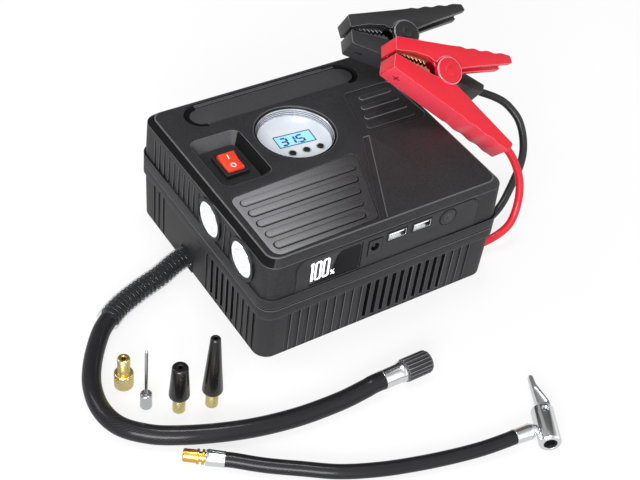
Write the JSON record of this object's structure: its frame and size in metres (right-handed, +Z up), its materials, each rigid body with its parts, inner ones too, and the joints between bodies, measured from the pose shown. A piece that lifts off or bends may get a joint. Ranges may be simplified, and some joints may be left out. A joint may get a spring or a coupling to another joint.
{
  "type": "jump starter pack with air compressor",
  "caption": "Portable jump starter with gauge, switch, lights and port panel, air compressor inside, captive air hose, clamps on cables, extension hose with clip-on chuck, and loose nozzles.",
  "frame": {"origin": "centre of the case base, on the surface it stands on", "axes": "+Z up; the port panel faces -Y; the lights face -X; +X runs along the port side to the clamp cables"},
  "size_m": [0.3584, 0.3017, 0.1347],
  "materials": {
    "case_plastic": "fine spark-eroded texture",
    "panel_plastic": "satin",
    "grip_plastic": "fine grain",
    "gloss_black": "polished",
    "button_plastic": "satin",
    "switch_red": "polished",
    "face_white": "satin",
    "lcd_blue": "backlit",
    "clear_plastic": "clear",
    "lens_clear": "clear",
    "reflector": "vacuum metallised",
    "emitter": "phosphor",
    "chrome": "polished plate",
    "steel": "turned",
    "aluminium": "cast",
    "brass": "turned",
    "copper": "pressed copper plate",
    "hose_rubber": "braided texture",
    "rubber_black": "matt",
    "seal_rubber": "matt",
    "clamp_red": "satin gloss",
    "clamp_black": "satin gloss",
    "cable_red": "matt",
    "cable_black": "matt",
    "battery_wrap": "shrink film",
    "board_green": "lacquer",
    "tongue_white": "moulded",
    "gear_white": "moulded"
  },
  "bodies": {
    "case": {"lower_case": "case_plastic", "upper_case": "case_plastic", "port_panel": "panel_plastic", "display_window": "gloss_black", "usb_shells": "steel", "usb_tongues": "tongue_white", "dc_jack": "button_plastic", "grip_panel": "grip_plastic", "switch_bezel": "gloss_black", "gauge_ring": "chrome", "gauge_face": "face_white", "gauge_lcd": "lcd_blue", "light_reflectors": "reflector", "light_lenses": "lens_clear", "light_emitters": "emitter", "rubber_feet": "rubber_black", "case_screws": "steel", "hose_grommet": "rubber_black", "cable_glands": "rubber_black", "battery_pack": "battery_wrap", "port_board": "board_green", "compressor_motor": "steel", "piston": "aluminium", "cylinder": "aluminium", "air_pipe": "brass", "air_hose": "hose_rubber", "spring_guard": "steel", "hose_sleeve": "clear_plastic", "hose_ferrule": "chrome", "extension_hose": "hose_rubber", "extension_ferrules": "chrome", "extension_nipple": "brass", "chuck_body": "chrome", "chuck_pin": "steel", "chuck_seal": "seal_rubber", "valve_adapter": "brass", "ball_needle": "chrome", "nozzle_cones": "button_plastic", "nozzle_threads": "brass", "red_lower_arm": "clamp_red", "black_lower_arm": "clamp_black", "lower_jaws": "copper", "pivot_pins": "steel", "clamp_springs": "steel", "red_cable": "cable_red", "black_cable": "cable_black"},
    "rocker": {"rocker_switch": "switch_red"},
    "button_left": {"gauge_button_left": "button_plastic"},
    "button_middle": {"gauge_button_middle": "button_plastic"},
    "button_right": {"gauge_button_right": "button_plastic"},
    "power_key": {"power_button": "button_plastic"},
    "red_handle": {"red_upper_arm": "clamp_red", "red_upper_jaw": "copper"},
    "black_handle": {"black_upper_arm": "clamp_black", "black_upper_jaw": "copper"},
    "nut": {"hose_nut": "button_plastic"},
    "lever": {"chuck_lever": "chrome"},
    "crank": {"crank_gear": "gear_white"},
    "pinion": {"motor_pinion": "brass"},
    "rod": {"connecting_rod": "aluminium"}
  },
  "joints": [
    {"name": "rocker_tilt", "type": "hinge", "parent": "case", "child": "rocker", "pos_m": [-0.0583, 0.0158, 0.074], "axis": [1, 0, 0], "range_deg": [-16, 0]},
    {"name": "button_left_press", "type": "slide", "parent": "case", "child": "button_left", "axis": [0, 0, -1], "range_m": [0, 0.0006], "stiffness_N_per_m": 600, "springref_m": -0.0005},
    {"name": "button_middle_press", "type": "slide", "parent": "case", "child": "button_middle", "axis": [0, 0, -1], "range_m": [0, 0.0006], "stiffness_N_per_m": 600, "springref_m": -0.0005},
    {"name": "button_right_press", "type": "slide", "parent": "case", "child": "button_right", "axis": [0, 0, -1], "range_m": [0, 0.0006], "stiffness_N_per_m": 600, "springref_m": -0.0005},
    {"name": "power_key_press", "type": "slide", "parent": "case", "child": "power_key", "axis": [0, 1, 0], "range_m": [0, 0.0008], "stiffness_N_per_m": 1200, "springref_m": -0.0005},
    {"name": "red_clamp_open", "type": "hinge", "parent": "case", "child": "red_handle", "pos_m": [0.0912, 0.0032, 0.1059], "axis": [-0.08, 0.6369, -0.7668], "range_deg": [0, 30], "stiffness_Nm_per_rad": 3, "springref_deg": -20.05},
    {"name": "black_clamp_open", "type": "hinge", "parent": "case", "child": "black_handle", "pos_m": [0.0969, 0.0562, 0.0994], "axis": [-0.0123, 0.5269, -0.8498], "range_deg": [0, 30], "stiffness_Nm_per_rad": 3, "springref_deg": -20.05},
    {"name": "hose_nut_turn", "type": "hinge", "parent": "case", "child": "nut", "pos_m": [-0.018, -0.1315, 0.00759], "axis": [1, 0, 0], "continuous": true},
    {"name": "chuck_lever_swing", "type": "hinge", "parent": "case", "child": "lever", "pos_m": [0.03791, -0.19902, 0.0069], "axis": [0, 0, -1], "range_deg": [0, 80]},
    {"name": "crank_turn", "type": "hinge", "parent": "case", "child": "crank", "pos_m": [-0.036, 0.028, 0.026], "axis": [1, 0, 0], "continuous": true},
    {"name": "pinion_turn", "type": "hinge", "parent": "case", "child": "pinion", "pos_m": [-0.036, 0.0521, 0.026], "axis": [1, 0, 0], "continuous": true},
    {"name": "rod_turn", "type": "hinge", "parent": "crank", "child": "rod", "pos_m": [-0.036, 0.022, 0.026], "axis": [1, 0, 0], "continuous": true}
  ],
  "couplings": [
    {"joint": "pinion_turn", "follows": "crank_turn", "ratio": -3},
    {"joint": "rod_turn", "follows": "crank_turn", "ratio": -1}
  ]
}
